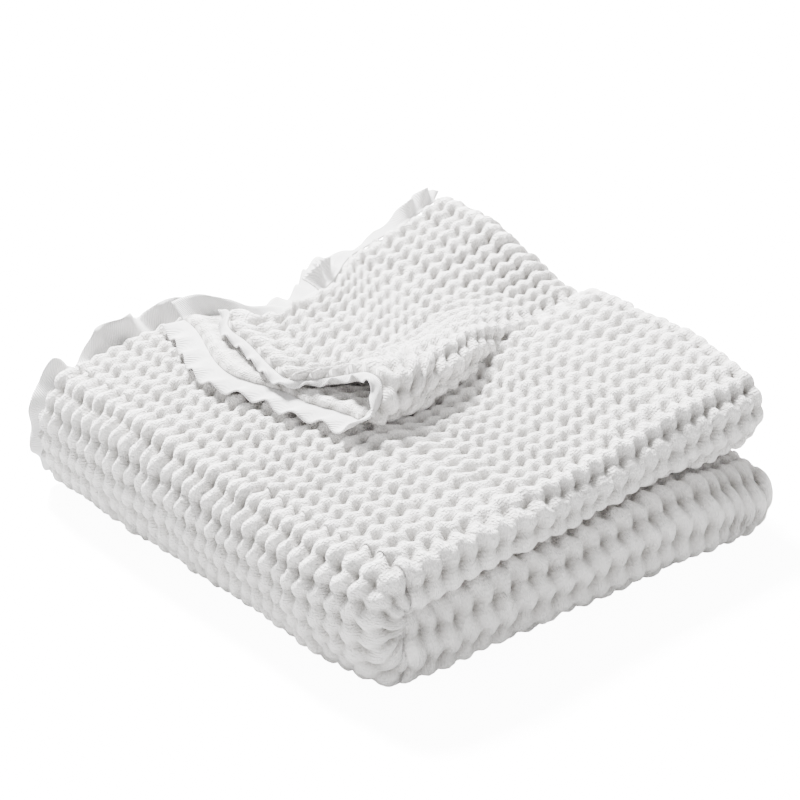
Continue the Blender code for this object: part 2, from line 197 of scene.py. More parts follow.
# The weave's noises, per metre, and how far they move a cell's place, in cells, and its height, in puffs
PULL_SCALE = 38.0
DRIFT_SCALE = 9.0
HAIR_SCALE = 420.0
PULL_ACROSS = 3.2
PULL_ALONG = 2.4
PULL_HEIGHT = 0.25
DRIFT_ACROSS = 4.0
DRIFT_ALONG = 5.0
DRIFT_HEIGHT = 0.3
NOISE_SEED_STEP = 7.31
CELL_SEED_STEP = 3.7
ROW_SLANT = 0.7
NECK_SHARPNESS = 0.7
TROUGH_SHARPNESS = 0.5
LEAST_GROWTH = 0.82
GROWTH_RANGE = 0.3
LOWEST_CLOTH = 0.0003
INNER_FULLNESS = 0.4

# The cloth's surface: its noises, per metre, its waver and bump, in metres, and each part's share in it
MATT_CLOTH = {"Roughness": 0.95, "Specular IOR Level": 0.12, "Sheen Weight": 0.25, "Sheen Roughness": 0.6}
FIBRE_SCALE = 900.0
TUFT_SCALE = 260.0
THREAD_WAVER = 0.0012
PICK_TURNS = 0.8
THREAD_IN_PITS = 0.7
THREAD_RELIEF = 0.4
PICK_RELIEF = 0.2
FIBRE_RELIEF = 1.7
TUFT_RELIEF = 2.2
COTTON_BUMP = 0.0013
# How far the pits' colour goes towards the painted shade colour, and how much further where the tufts are
PIT_PAINTED_SHADE = 0.75
PIT_PAINTED_SHADE_IN_TUFTS = 0.5
FIBRE_SHADES = (0.84, 1.1)

# The tape's surface, in the same way
RIB_WAVER_SCALE = 120.0
RIB_WAVER = 0.0006
RIB_SLANT = 0.3
RIB_FIBRE_SCALE = 1500.0
RIB_PICK_PITCH = 0.7
RIB_RELIEF = 0.75
RIB_FIBRE_RELIEF = 0.4
RIB_BUMP_STRENGTH = 0.8
RIB_BUMP = 0.0006

# The stage, in metres
WHITE = (1.0, 1.0, 1.0, 1.0)
FLOOR_SIDE = 6.0
FLOOR_GRAIN_SCALE = 3.0
FLOOR_GRAIN_SHADE = 0.99
LIT_POINT = (0.0, 0.0, 0.05)
KEY_SIZE = 0.6
KEY_PLACE = (-1.3, 0.3, 1.7)
FILL_SIZE = 1.2
FILL_PLACE = (0.3, -1.6, 1.2)
SENSOR_WIDTH = 36.0
VIEW_END = 30.0

# Counts and steps of the measuring, in the surfaces' own places
LEG_COUNT = 7
WAY_SAMPLES = 1400
STATION_SAMPLES = 600
LONG_EDGE_PLACES = 1200
ROLL_EDGE_PLACES = 500
SHORT_EDGE_PLACES = 400
OUTWARD_STEP = 0.004
FLAP_SHOWN_TO = 1.6
FEWEST_FACES = 8
TINY = 1e-12


def ease(low, high, value):
    share = np.clip((value - low) / (high - low), 0.0, 1.0)
    return share * share * (3.0 - 2.0 * share)


def blend(start, end, share):
    return start + (end - start) * share


def along(table, value):
    """The value of a short table of (place, value) rows, eased between the rows."""
    found = np.full(np.shape(value), table[0][1], float)
    for (low, first), (high, second) in zip(table, table[1:]):
        found = np.where(value > low, blend(first, second, ease(low, high, value)), found)
    return found


def unit(vectors):
    return vectors / np.maximum(np.linalg.norm(vectors, axis=-1, keepdims=True), TINY)


def run_lengths(points):
    """Distance along a line of points, from its first."""
    steps = np.linalg.norm(np.diff(points, axis=0), axis=-1)
    return np.concatenate([[0.0], np.cumsum(steps)])


# The folded cloth's middle surface


def shares(x, y):
    return x / WIDTH + 0.5, y / DEPTH + 0.5


def wave(turns, u, v):
    across, onward, start = turns
    return np.sin(across * u + onward * v + start)


def lower_top(x, y):
    u, v = shares(x, y)
    return along(LOWER_PROFILE, v) + LOWER_UNEVEN * wave(LOWER_WAVE, u, v)


def slit(x, y):
    u, v = shares(x, y)
    return blend(GAP_AT_SPINE, GAP_AT_ENDS, v * v * blend(GAP_AT_EDGES, 1.0, u))


def flap_step(x, y):
    u, v = shares(x, y)
    under = ease(*FLAP_STEP_ALONG, v) * ease(*FLAP_STEP_ACROSS, u - along(ROLL_LINE, v))
    return (CLOTH + FLAP_LIFT + FLAP_CLOSED) * under


def upper_top(x, y):
    u, v = shares(x, y)
    uneven = UPPER_UNEVEN * wave(UPPER_WAVE_ACROSS, u, v) * wave(UPPER_WAVE_ALONG, u, v)
    return lower_top(x, y) + slit(x, y) + along(UPPER_PROFILE, v) + uneven - flap_step(x, y)


def lower_half(x, y):
    """Middle height and half spread of the outer layers of the lower half."""
    return lower_top(x, y) / 2, (lower_top(x, y) - CLOTH) / 2


def upper_half(x, y):
    base = lower_top(x, y) + slit(x, y)
    return (upper_top(x, y) + base) / 2, (upper_top(x, y) - base - CLOTH) / 2


def settled(x, y, z):
    """Points moved as the hand-folded outline is uneven, and placed on the frame's origin."""
    u, v = shares(x, y)
    front = FRONT_CORNER_PULL * ease(1 - CORNER_SHARE, 1, u) * ease(CORNER_SHARE, 0, v)
    rear = blend(LOWER_REAR_PULL, UPPER_REAR_PULL, ease(*PULL_HEIGHTS, z))
    rear = rear * ease(1 - CORNER_SHARE, 1, u) * ease(1 - CORNER_SHARE, 1, v)
    x_shift = SIDE_UNEVEN * wave(SIDE_WAVE, u, v) * (u - SIDE_STILL_AT)
    x_shift = x_shift + along(SIDE_PINCH, v) * (1 - np.clip(u, 0, 1)) ** 2
    x_shift = x_shift - SIDE_DRAWN_OUT * (1 - u) * ease(0.5, 0.0, v)
    y_shift = END_UNEVEN * wave(END_WAVE, u, v) * (v - END_STILL_AT)
    return np.stack([x + x_shift - front + MIDDLE_X, y + y_shift + front - rear + MIDDLE_Y, z], -1)


def edge_x(level, side, v):
    stray = np.sin(LAYER_EDGE_TURN * v + LAYER_TURN * level + side) + 1 - level
    return -WIDTH / 2 + LAYER_EDGE_UNEVEN * stray


def section(station, level, spread, nose_x, start_x):
    """Points of the folded section, as their x and their height in shares of the half's spread."""
    angle = math.pi * (1.5 - np.clip(station, 1, 2))
    flat = np.clip(np.where(station < 1.5, station, 3 - station), 0, 1)
    return blend(start_x, nose_x, flat) + level * spread * np.cos(angle), level * np.sin(angle)


def leg_points(leg, share, station):
    """Points of one leg of the folded cloth, before they are settled."""
    if leg == 3:
        return spine_points(share, station)
    half = lower_half if leg >= 4 else upper_half
    onward = share if leg in (0, 4) else 1 - share
    level = np.ones_like(share)
    turn = np.zeros_like(share)
    if leg in (0, 6):
        level = level * INNER_LEVEL
    if leg in (1, 5):
        turn = math.pi * (share if leg == 5 else 1 - share)
        level = blend(INNER_LEVEL, 1.0, (1 + np.cos(turn)) / 2)
        onward = np.ones_like(share)
    side = np.where(station < 1.5, 1, -1)
    probe_y = blend(SPINE_Y, DEPTH / 2, onward)
    probe_v = probe_y / DEPTH + 0.5
    reach = (LOWER_NOSE_REACH if leg >= 4 else UPPER_NOSE_REACH) * ease(0, NOSE_REACH_FULL_AT, probe_v)
    nose_x = WIDTH / 2 - CLOTH / 2 - half(WIDTH / 2, probe_y)[1] + reach
    start_x = edge_x(level, side, probe_v)
    x, height = section(station, level, half(nose_x, probe_y)[1], nose_x, start_x)
    flat_x = np.minimum(x, nose_x)
    end_radius = half(flat_x, DEPTH / 2)[1] * (1 - INNER_LEVEL) / 2
    end_y = DEPTH / 2 - CLOTH / 2 - end_radius
    if leg in (1, 5):
        y = end_y + end_radius * np.sin(turn)
    elif leg in (2, 4):
        y = blend(SPINE_Y, end_y, onward)
    else:
        y = blend(SPINE_Y + RETURN_START, end_y, onward)
    middle, spread = half(flat_x, np.minimum(y, end_y))
    return x, y, middle + spread * height * (1 if leg < 3 else -1)


def spine_points(share, station):
    side = np.where(station < 1.5, 1, -1)
    reach = blend(upper_half(WIDTH / 2, SPINE_Y)[1], lower_half(WIDTH / 2, SPINE_Y)[1], share)
    nose_x = WIDTH / 2 - CLOTH / 2 - reach
    start_x = edge_x(1.0, side, SPINE_Y / DEPTH + 0.5)
    spread = blend(upper_half(nose_x, SPINE_Y)[1], lower_half(nose_x, SPINE_Y)[1], share)
    x, height = section(station, 1.0, spread, nose_x, start_x)
    flat_x = np.minimum(x, nose_x)
    upper_middle, upper_spread = upper_half(flat_x, SPINE_Y)
    lower_middle, lower_spread = lower_half(flat_x, SPINE_Y)
    axis_z = lower_top(flat_x, SPINE_Y) + slit(flat_x, SPINE_Y) / 2
    radius = blend(upper_middle - axis_z, axis_z - lower_middle, share)
    radius = radius + height * blend(upper_spread, lower_spread, share)
    angle = math.pi * (0.5 - share)
    return x, SPINE_Y - SPINE_SQUASH * radius * np.cos(angle), axis_z + radius * np.sin(angle)


def fold_surface(way, station):
    """Points of the folded cloth's middle surface, in the frame."""
    way, station = np.broadcast_arrays(np.asarray(way, float), np.asarray(station, float))
    leg = np.clip(np.floor(way), 0, LEG_COUNT - 1)
    points = np.empty(way.shape + (3,))
    for number in np.unique(leg):
        here = leg == number
        points[here] = settled(*leg_points(int(number), way[here] - number, station[here]))
    return points


def flap_spread(u, v):
    roll_u = along(ROLL_LINE, v)
    rolled = ease(roll_u - ROLL_RISE, roll_u, u) * ease(*ROLL_CLOSING, v)
    peak = PEAK_HEIGHT * ease(*PEAK_ALONG, v) * ease(roll_u + PEAK_PAST_ROLL, PEAK_FULL_AT, u)
    side = FLAP_SIDE_LIFT * ease(*FLAP_SIDE_LIFT_ACROSS, u) * ease(*FLAP_SIDE_LIFT_ALONG, v)
    return FLAP_CLOSED + (ROLL_HEIGHT - FLAP_CLOSED) * rolled + peak + side


def flap_surface(share, station):
    """Points of the flap's middle surface, in the frame."""
    share, station = np.broadcast_arrays(np.asarray(share, float), np.asarray(station, float))
    edge = along(FLAP_EDGE, station)
    end_y = DEPTH / 2 - CLOTH / 2 - upper_half(0.0, DEPTH / 2)[1] * (1 - INNER_LEVEL) / 2
    down = np.maximum(share - 1, 0) * math.pi / 2
    y = blend((edge - 0.5) * DEPTH, end_y - FLAP_END_REACH, np.minimum(share, 1))
    v = y / DEPTH + 0.5
    high = station >= 2
    side_u = np.where(high, along(FLAP_SIDE_HIGH, v), along(FLAP_SIDE_LOW, v))
    roll_u = along(ROLL_LINE, v)
    roll_x = (roll_u - 0.5) * WIDTH
    inward = np.clip(np.where(station < 1.5, station, 3 - station), 0, 1)
    u = blend(side_u, roll_u, inward)
    spread = flap_spread(u, v)
    angle = math.pi * (np.clip(station, 1, 2) - 1.5)
    x = (u - 0.5) * WIDTH + spread / 2 * np.cos(angle)
    above = (1 + np.sin(angle)) / 2
    lift = FLAP_LIFT + CLOTH + spread * above
    base = upper_top(np.minimum(x, roll_x - CLOTH), y) - CLOTH / 2
    reach = blend(FLAP_END_REACH_BELOW, FLAP_END_REACH, above)
    return settled(x, y + reach * np.sin(down), base + lift * np.cos(down))


def outward_of(surface, onward, station, onward_end, step=OUTWARD_STEP):
    """The cloth's outward direction at places of a surface, from its slopes there."""
    ahead, behind = np.minimum(onward + step, onward_end), np.maximum(onward - step, 0)
    right, left = np.minimum(station + step, 3), np.maximum(station - step, 0)
    along_way = surface(ahead, station) - surface(behind, station)
    across_way = surface(onward, right) - surface(onward, left)
    return unit(np.cross(along_way, across_way))


# Node trees as Python expressions


class Net:
    """A node tree that is being filled."""

    def __init__(self, tree):
        self.tree = tree

    def node(self, kind, settings=None, inputs=None):
        """A new node: its settings are set first, then its sockets are linked or given values."""
        made = self.tree.nodes.new(kind)
        for name, value in (settings or {}).items():
            setattr(made, name, value)
        for name, value in (inputs or {}).items():
            if isinstance(value, Value):
                self.tree.links.new(value.socket, made.inputs[name])
            else:
                made.inputs[name].default_value = value
        return made

    def value(self, kind, settings=None, inputs=None, output=0):
        return Value(self, self.node(kind, settings, inputs).outputs[output])

    def math(self, operation, *values):
        return self.value("ShaderNodeMath", {"operation": operation}, dict(enumerate(values)))

    def noise(self, place, scale, detail, output=0):
        return self.value(
            "ShaderNodeTexNoise", None, {"Vector": place, "Scale": scale, "Detail": detail}, output)

    def mixed(self, share, first, second):
        """A colour between two others."""
        return self.value("ShaderNodeMix", {"data_type": "RGBA"}, {0: share, 6: first, 7: second}, 2)


class Value:
    """A number that a node puts out. Arithmetic on it adds Math nodes."""

    def __init__(self, net, socket):
        self.net = net
        self.socket = socket

    def math(self, operation, *others):
        return self.net.math(operation, self, *others)

    def __add__(self, other):
        return self.math("ADD", other)

    def __sub__(self, other):
        return self.math("SUBTRACT", other)

    def __mul__(self, other):
        return self.math("MULTIPLY", other)

    def __truediv__(self, other):
        return self.math("DIVIDE", other)

    def __pow__(self, other):
        return self.math("POWER", other)

    def __rsub__(self, other):
        return self.net.math("SUBTRACT", other, self)

    __radd__ = __add__
    __rmul__ = __mul__

    def sine(self):
        return self.math("SINE")

    def size(self):
        return self.math("ABSOLUTE")

    def floor(self):
        return self.math("FLOOR")

    def clipped(self):
        return self.math("MINIMUM", 1.0).math("MAXIMUM", 0.0)


def split(net, vector):
    parts = net.node("ShaderNodeSeparateXYZ", inputs={"Vector": vector})
    return [Value(net, parts.outputs[axis]) for axis in "XYZ"]


def joined(net, x, y, z=0.0):
    return net.value("ShaderNodeCombineXYZ", inputs={"X": x, "Y": y, "Z": z})


# Materials


def new_material(name, colour):
    """A matt cloth material and the net of its nodes."""
    material = bpy.data.materials.new(name)
    material.use_nodes = True
    material.diffuse_color = colour
    shader = material.node_tree.nodes["Principled BSDF"]
    for socket, value in MATT_CLOTH.items():
        shader.inputs[socket].default_value = value
    return material, Net(material.node_tree), shader


def honeycomb_cotton():
    """Puffed cotton: thread ribs, loose fibres, and painted shade, darker and warmer, in the cells' pits.
    """
    looks = bpy.context.scene.blanket_colours
    weave = bpy.context.scene.blanket_weave
    material, net, shader = new_material("Honeycomb cotton", (*looks.cotton, 1.0))
    place = net.value("ShaderNodeAttribute", {"attribute_name": "weave"}, output="Vector")
    pit = net.value("ShaderNodeAttribute", {"attribute_name": "pit"}, output="Fac")
    across, onward, _ = split(net, place)
    fibres = net.noise(place, FIBRE_SCALE, 3.0)
    tufts = net.noise(place, TUFT_SCALE, 2.0)
    turn = 2 * math.pi / weave.thread
    thread = ((across + (tufts - 0.5) * THREAD_WAVER) * turn).sine() * 0.5 + 0.5
    pick = ((onward + (tufts - 0.5) * THREAD_WAVER) * (turn * PICK_TURNS)).sine() * 0.5 + 0.5
    shown = pit * THREAD_IN_PITS + (1 - THREAD_IN_PITS)
    woven = thread * shown * THREAD_RELIEF + pick * PICK_RELIEF
    height = woven + fibres * FIBRE_RELIEF + tufts * TUFT_RELIEF
    # Painted shade: the deeper a place lies in a pit, the more its colour goes towards the dark, warm pit
    # colour
    depth = (pit * (PIT_PAINTED_SHADE + PIT_PAINTED_SHADE_IN_TUFTS * tufts)).clipped()
    colour = net.mixed(depth, (*looks.cotton, 1.0), (*looks.pit, 1.0))
    darkest, lightest = FIBRE_SHADES
    shade = net.value("ShaderNodeMapRange", None, {"Value": fibres, "To Min": darkest, "To Max": lightest})
    scaled = net.value(
        "ShaderNodeVectorMath", {"operation": "SCALE"}, {"Vector": colour, "Scale": shade})
    net.tree.links.new(scaled.socket, shader.inputs["Base Color"])
    bump = net.value("ShaderNodeBump", None, {"Strength": 1.0, "Distance": COTTON_BUMP, "Height": height})
    net.tree.links.new(bump.socket, shader.inputs["Normal"])
    return material


def ribbed_cotton():
    """Binding tape: fine ribs across its width, a flatter weave between them, and soft painted shade
    between the ribs, wavering at random.
    """
    looks = bpy.context.scene.blanket_colours
    sizes = bpy.context.scene.blanket_binding
    material, net, shader = new_material("Ribbed cotton", (*looks.binding, 1.0))
    place = net.value("ShaderNodeAttribute", {"attribute_name": "weave"}, output="Vector")
    onward, across, _ = split(net, place)
    waver = net.noise(place, RIB_WAVER_SCALE, 2.0)
    fibres = net.noise(place, RIB_FIBRE_SCALE, 2.0)
    run = onward + across * RIB_SLANT + (waver - 0.5) * RIB_WAVER
    rib = (run * (2 * math.pi / sizes.rib)).sine() * 0.5 + 0.5
    pick = (across * (2 * math.pi / (sizes.rib * RIB_PICK_PITCH))).sine() * 0.5 + 0.5
    height = rib * (RIB_RELIEF + (1 - RIB_RELIEF) * pick) + fibres * RIB_FIBRE_RELIEF
    # Painted shade between the ribs, mixed with tone that wavers at random
    colour = net.mixed(rib * 0.5 + waver * 0.5, (*looks.binding_shade, 1.0), (*looks.binding, 1.0))
    net.tree.links.new(colour.socket, shader.inputs["Base Color"])
    bump = net.value(
        "ShaderNodeBump", None, {"Strength": RIB_BUMP_STRENGTH, "Distance": RIB_BUMP, "Height": height})
    net.tree.links.new(bump.socket, shader.inputs["Normal"])
    return material


def pale_floor():
    """A pale floor that glows evenly, as a lit photo table does."""
    looks = bpy.context.scene.blanket_stage
    material, net, shader = new_material("Pale floor", (*looks.floor, 1.0))
    shader.inputs["Sheen Weight"].default_value = 0.0
    shader.inputs["Emission Color"].default_value = WHITE
    shader.inputs["Emission Strength"].default_value = looks.glow
    place = net.value("ShaderNodeTexCoord", output="Object")
    grain = net.noise(place, FLOOR_GRAIN_SCALE, 1.0)
    darker = tuple(channel * FLOOR_GRAIN_SHADE for channel in looks.floor)
    colour = net.mixed(grain, (*darker, 1.0), (*looks.floor, 1.0))
    net.tree.links.new(colour.socket, shader.inputs["Base Color"])
    return material


def material_of(make):
    """The material that a function makes, made once."""
    if make.__name__ not in made_materials:
        made_materials[make.__name__] = make()
    return made_materials[make.__name__]


made_materials = {}


# Geometry Nodes


# The weave tree's inputs for sizes and shares, and the setting that gives each
WEAVE_SIZES = {
    "Cell across": "cell_across", "Cell along": "cell_along", "Puff height": "puff", "Crease": "crease",
    "Trough": "trough", "Slant": "slant", "Unevenness": "unevenness", "Fuzz": "fuzz",
}


def named(net, name, kind):
    """A named attribute of the cloth's points."""
    return net.value("GeometryNodeInputNamedAttribute", {"data_type": kind}, {"Name": name})


def honeycomb_tree():
    """Puffs a cloth's surface out into rows of cells, along its own outward direction."""
    tree = bpy.data.node_groups.new("Honeycomb weave", "GeometryNodeTree")
    kinds = {"Cloth": "NodeSocketGeometry"}
    kinds.update({name: "NodeSocketFloat" for name in WEAVE_SIZES})
    kinds.update({"Seed": "NodeSocketInt", "Material": "NodeSocketMaterial"})
    for name, kind in kinds.items():
        tree.interface.new_socket(name, in_out="INPUT", socket_type=kind)
    tree.interface.new_socket("Cloth", in_out="OUTPUT", socket_type="NodeSocketGeometry")
    net = Net(tree)
    start = tree.nodes.new("NodeGroupInput")
    given = {socket.name: Value(net, socket) for socket in start.outputs if socket.name}
    out = named(net, "out", "FLOAT_VECTOR")
    fullness = named(net, "fullness", "FLOAT")
    across, onward, _ = split(net, named(net, "weave", "FLOAT_VECTOR"))
    seeded = joined(net, across, onward, given["Seed"] * NOISE_SEED_STEP)
    pull_x, pull_y, pull_z = split(net, net.noise(seeded, PULL_SCALE, 1.0, "Color"))
    drift_x, drift_y, drift_z = split(net, net.noise(seeded, DRIFT_SCALE, 1.0, "Color"))
    stray_x = ((pull_x - 0.5) * PULL_ACROSS + (drift_x - 0.5) * DRIFT_ACROSS) * given["Unevenness"]
    stray_y = ((pull_y - 0.5) * PULL_ALONG + (drift_y - 0.5) * DRIFT_ALONG) * given["Unevenness"]
    cell_x = across / given["Cell across"] + stray_x
    cell_y = onward / given["Cell along"] + stray_y
    cell = joined(net, cell_x.floor(), cell_y.floor(), given["Seed"] * CELL_SEED_STEP)
    chance = net.value("ShaderNodeTexWhiteNoise", {"noise_dimensions": "3D"}, {"Vector": cell}, "Value")
    slanted_x = cell_x + (cell_y * (2 * math.pi)).sine() * given["Slant"]
    slanted_y = cell_y + (cell_x * (2 * math.pi)).sine() * given["Slant"] * ROW_SLANT
    swell = (slanted_x * math.pi).sine().size()
    crest = (slanted_y * math.pi).sine().size()
    neck = 1 - swell ** NECK_SHARPNESS
    pit = (1 - swell * swell) * (1 - crest * crest) * (1 - given["Crease"] - given["Trough"])
    trough = (1 - crest ** TROUGH_SHARPNESS) * given["Trough"]
    puff = 1 - (pit + neck * given["Crease"] + trough)
    grown = puff * (LEAST_GROWTH + GROWTH_RANGE * chance)
    settle = (drift_z - 0.5) * DRIFT_HEIGHT + (pull_z - 0.5) * PULL_HEIGHT
    hairs = net.noise(seeded, HAIR_SCALE, 2.0)
    lift = ((grown - 0.5 + settle) * given["Puff height"] + (hairs - 0.5) * given["Fuzz"]) * fullness
    offset = net.value("ShaderNodeVectorMath", {"operation": "SCALE"}, {"Vector": out, "Scale": lift})
    moved = net.value("GeometryNodeSetPosition", None, {"Geometry": given["Cloth"], "Offset": offset})
    x, y, z = split(net, net.value("GeometryNodeInputPosition"))
    resting = joined(net, x, y, z.math("MAXIMUM", LOWEST_CLOTH))
    moved = net.value("GeometryNodeSetPosition", None, {"Geometry": moved, "Position": resting})
    # The pit share is kept for the material, which paints shade into the pits with it and shows the thread
    # ribs by it
    kept = net.value(
        "GeometryNodeStoreNamedAttribute", {"data_type": "FLOAT", "domain": "POINT"},
        {"Geometry": moved, "Name": "pit", "Value": 1 - puff})
    whole = net.value("GeometryNodeRealizeInstances", None, {"Geometry": kept})
    done = net.value("GeometryNodeSetMaterial", None, {"Geometry": whole, "Material": given["Material"]})
    end = tree.nodes.new("NodeGroupOutput")
    tree.links.new(done.socket, end.inputs[0])
    return tree


def run_tree(piece, tree, values):
    """Runs a Geometry Nodes tree on a piece, with inputs set by identifier, and keeps a plain mesh."""
    modifier = piece.modifiers.new(tree.name, "NODES")
    modifier.node_group = tree
    for item in tree.interface.items_tree:
        if item.in_out == "INPUT" and item.name in values:
            modifier[item.identifier] = values[item.name]
    graph = bpy.context.evaluated_depsgraph_get()
    mesh = bpy.data.meshes.new_from_object(piece.evaluated_get(graph), depsgraph=graph)
    piece.modifiers.remove(modifier)
    old = piece.data
    piece.data = mesh
    bpy.data.meshes.remove(old)
    mesh.name = piece.name
    mesh.shade_smooth()


def puffed(piece):
    """Gives a piece of plain cloth its honeycomb cells."""
    weave = bpy.context.scene.blanket_weave
    tree = bpy.data.node_groups.get("Honeycomb weave") or honeycomb_tree()
    values = {name: getattr(weave, setting) for name, setting in WEAVE_SIZES.items()}
    run_tree(piece, tree, values | {"Seed": weave.seed, "Material": material_of(honeycomb_cotton)})


# Cloth meshes


def new_piece(name, mesh):
    piece = bpy.data.objects.new(name, mesh)
    bpy.context.scene.collection.objects.link(piece)
    return piece


def set_attribute(mesh, name, kind, values):
    field = "vector" if kind == "FLOAT_VECTOR" else "value"
    attribute = mesh.attributes.new(name, kind, "POINT")
    attribute.data.foreach_set(field, np.ascontiguousarray(values, np.float32).ravel())


def quads(grid, turned=False):
    """The faces of a grid of vertex numbers."""
    a, b, c, d = grid[:-1, :-1], grid[1:, :-1], grid[1:, 1:], grid[:-1, 1:]
    faces = np.stack([a, b, c, d], -1).reshape(-1, 4)
    return (faces[:, ::-1] if turned else faces).tolist()


def rim(fine, coarse, turned):
    """Faces that close the edge between a fine row of vertices and one of half its count."""
    faces = np.stack([fine[:-2:2], coarse[:-1], coarse[1:], fine[2::2], fine[1::2]], -1)
    return (faces[:, ::-1] if turned else faces).tolist()


def slab(name, middle, out, weave, fullness=1.0):
    """Cloth with a fine outer face and a coarser inner face, as one closed mesh."""
    outer = middle + out * CLOTH / 2
    inner = (middle - out * CLOTH / 2)[::2, ::2]
    rows, columns = middle.shape[:2]
    fine = np.arange(rows * columns).reshape(rows, columns)
    coarse = fine.size + np.arange(inner.shape[0] * inner.shape[1]).reshape(inner.shape[:2])
    faces = quads(fine) + quads(coarse, True)
    faces += rim(fine[:, 0], coarse[:, 0], False) + rim(fine[:, -1], coarse[:, -1], True)
    faces += rim(fine[0], coarse[0], True) + rim(fine[-1], coarse[-1], False)
    mesh = bpy.data.meshes.new(name)
    mesh.from_pydata(np.concatenate([outer.reshape(-1, 3), inner.reshape(-1, 3)]).tolist(), [], faces)
    ways = np.concatenate([out.reshape(-1, 3), -out[::2, ::2].reshape(-1, 3)])
    places = np.concatenate([weave.reshape(-1, 3), weave[::2, ::2].reshape(-1, 3)])
    full = np.broadcast_to(fullness, middle.shape[:2])
    amounts = np.concatenate([full.ravel(), INNER_FULLNESS * full[::2, ::2].ravel()])
    set_attribute(mesh, "out", "FLOAT_VECTOR", ways)
    set_attribute(mesh, "weave", "FLOAT_VECTOR", places)
    set_attribute(mesh, "fullness", "FLOAT", amounts)
    return new_piece(name, mesh)


class ClothRuler:
    """Turns distances along a surface's two directions into its own places, and back."""

    def __init__(self, surface, onward_end, middle_onward, middle_station, strays=False):
        self.surface = surface
        self.strays = strays
        self.onward_end = onward_end
        self.onward = np.linspace(0, onward_end, WAY_SAMPLES)
        self.station = np.linspace(0, 3, STATION_SAMPLES)
        self.onward_length = run_lengths(surface(self.onward, middle_station))
        self.width = run_lengths(surface(middle_onward, self.station))[-1]

    def across(self, ways):
        """Distance across the cloth at every station of each way, with the whole width the same for all."""
        rings = self.surface(ways[:, None], self.station[None, :])
        steps = np.cumsum(np.linalg.norm(np.diff(rings, axis=1), axis=-1), axis=1)
        lengths = np.concatenate([np.zeros((len(ways), 1)), steps], axis=1)
        return lengths * self.width / lengths[:, -1:]

    def lines(self, places, lengths, start, end, cell, samples):
        """Evenly spaced lines between two places, moved to the nearest creases between cells."""
        first, last = np.interp([start, end], places, lengths) / cell
        first, last = round(first), max(round(last), round(first) + 1)
        return np.linspace(first, last, (last - first) * samples + 1) * cell

    def band(self, name, onward, station, samples, fullness=1.0):
        """Cloth between two places each way, with a number of faces across and along each cell."""
        weave = bpy.context.scene.blanket_weave
        t = self.lines(self.onward, self.onward_length, *onward, weave.cell_along, samples[1])
        middle_ring = self.across(np.array([sum(onward) / 2]))[0]
        s = self.lines(self.station, middle_ring, *station, weave.cell_across, samples[0])
        ways = np.interp(t, self.onward_length, self.onward)
        stations = np.stack([np.interp(s, ring, self.station) for ring in self.across(ways)])
        ways = np.broadcast_to(ways[:, None], stations.shape)
        middle = self.surface(ways, stations)
        out = outward_of(self.surface, ways, stations, self.onward_end)
        cells, rows = s[None, :] + np.zeros(ways.shape), t[:, None] + np.zeros(ways.shape)
        if self.strays:
            cells, rows = cells + cell_stray(ways, stations), rows + row_stray(ways, stations)
        place = np.stack([cells, rows, np.zeros(ways.shape)], -1)
        piece = slab(name, middle, out, place, fullness)
        puffed(piece)
        return piece, (s[-1] - s[0], t[-1] - t[0])


def cell_stray(way, station):
    """How much less pattern than cloth there is towards the noses, where the cells are pulled wide."""
    share = np.clip((station - TOP_PULLED_FROM) / (1 - TOP_PULLED_FROM), 0, 1)
    nose = blend(UPPER_NOSE_PULLED, LOWER_NOSE_PULLED, ease(*NOSE_PULL_CHANGES, way))
    return -TOP_PULLED * share * share - nose * np.clip(station - 1, 0, 1)


def row_stray(way, station):
    """How far the top's rows stray from straight lines, which grows towards the noses."""
    sloped = ease(*ROW_SLOPE_ACROSS, station) * ease(*ROW_SLOPE_STARTS, way) * ease(*ROW_SLOPE_ENDS, way)
    return along(ROW_SHIFT, way) + bpy.context.scene.blanket_weave.row_slope * sloped


def finish_cloth(piece):
    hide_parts("cloth")
    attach(piece, "root")


# Bindings


